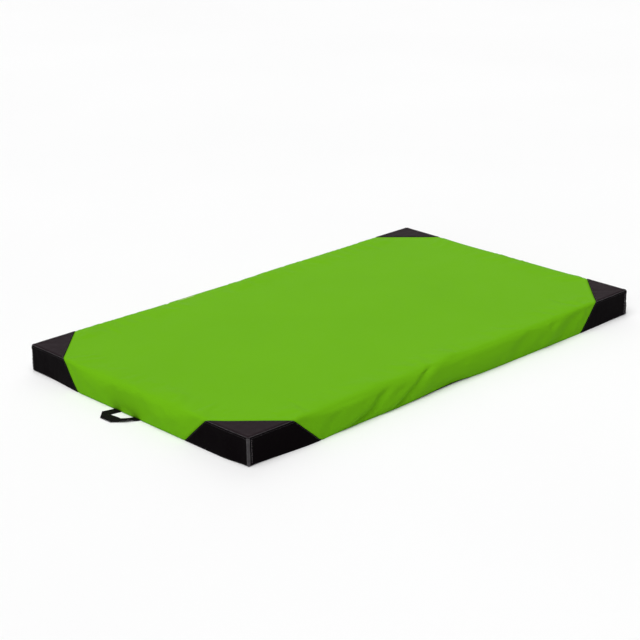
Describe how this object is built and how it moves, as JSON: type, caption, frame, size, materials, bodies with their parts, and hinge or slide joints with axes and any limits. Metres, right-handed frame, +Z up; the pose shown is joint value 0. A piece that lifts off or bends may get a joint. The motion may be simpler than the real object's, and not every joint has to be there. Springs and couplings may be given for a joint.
{
  "type": "crash landing mat",
  "caption": "Foam landing mat in a zipped vinyl cover with black corner caps, webbing loop handles, a zip with a slider and pull, and vent eyelets.",
  "frame": {"origin": "on the floor, under the middle of the mat", "axes": "+X along the mat's length, +Y across it towards the zipped wall, +Z up"},
  "size_m": [2.19, 1.2063, 0.104],
  "materials": {
    "green_vinyl": "semi-gloss PVC-coated polyester",
    "black_vinyl": "semi-gloss black vinyl, fine grain",
    "binding_tape": "satin folded vinyl strip, stitched",
    "anti_slip_base": "matt, dotted",
    "firm_foam": "matt closed-cell foam",
    "soft_foam": "matt open-cell foam",
    "webbing": "woven polypropylene",
    "zip_tape": "woven, matt",
    "zip_teeth": "satin moulded nylon",
    "zip_metal": "black enamel",
    "eyelet_metal": "nickel plated"
  },
  "bodies": {
    "mat": {"foam_base_layer": "firm_foam", "foam_core": "soft_foam", "foam_top_layer": "soft_foam", "green_cover": "green_vinyl", "base_sheet": "anti_slip_base", "front_left_corner_top": "black_vinyl", "front_left_corner_end": "black_vinyl", "front_left_corner_side": "black_vinyl", "front_left_corner_binding": "binding_tape", "front_right_corner_top": "black_vinyl", "front_right_corner_end": "black_vinyl", "front_right_corner_side": "black_vinyl", "front_right_corner_binding": "binding_tape", "back_left_corner_top": "black_vinyl", "back_left_corner_end": "black_vinyl", "back_left_corner_side": "black_vinyl", "back_left_corner_binding": "binding_tape", "back_right_corner_top": "black_vinyl", "back_right_corner_end": "black_vinyl", "back_right_corner_side": "black_vinyl", "back_right_corner_binding": "binding_tape", "left_handle_tails": "webbing", "right_handle_tails": "webbing", "zip_tape_upper": "zip_tape", "zip_teeth_upper": "zip_teeth", "zip_tape_lower": "zip_tape", "zip_teeth_lower": "zip_teeth", "zip_top_stops": "zip_teeth", "zip_bottom_stop": "zip_teeth", "vent_eyelets": "eyelet_metal", "vent_washers": "eyelet_metal"},
    "left_handle": {"left_handle_loop": "webbing"},
    "right_handle": {"right_handle_loop": "webbing"},
    "slider": {"zip_slider": "zip_metal"},
    "pull": {"zip_pull": "zip_metal"}
  },
  "joints": [
    {"name": "left_handle_swing", "type": "hinge", "parent": "mat", "child": "left_handle", "pos_m": [-1.0115, 0.018, 0.0025], "axis": [0, 1, 0], "range_deg": [0, 70]},
    {"name": "right_handle_swing", "type": "hinge", "parent": "mat", "child": "right_handle", "pos_m": [1.0115, -0.018, 0.0025], "axis": [0, -1, 0], "range_deg": [0, 70]},
    {"name": "zip_travel", "type": "slide", "parent": "mat", "child": "slider", "axis": [-1, 0, 0], "range_m": [0, 1.362]},
    {"name": "pull_swing", "type": "hinge", "parent": "slider", "child": "pull", "pos_m": [0.681, 0.6031, 0.034], "axis": [0, 0, -1], "range_deg": [0, 180]}
  ]
}
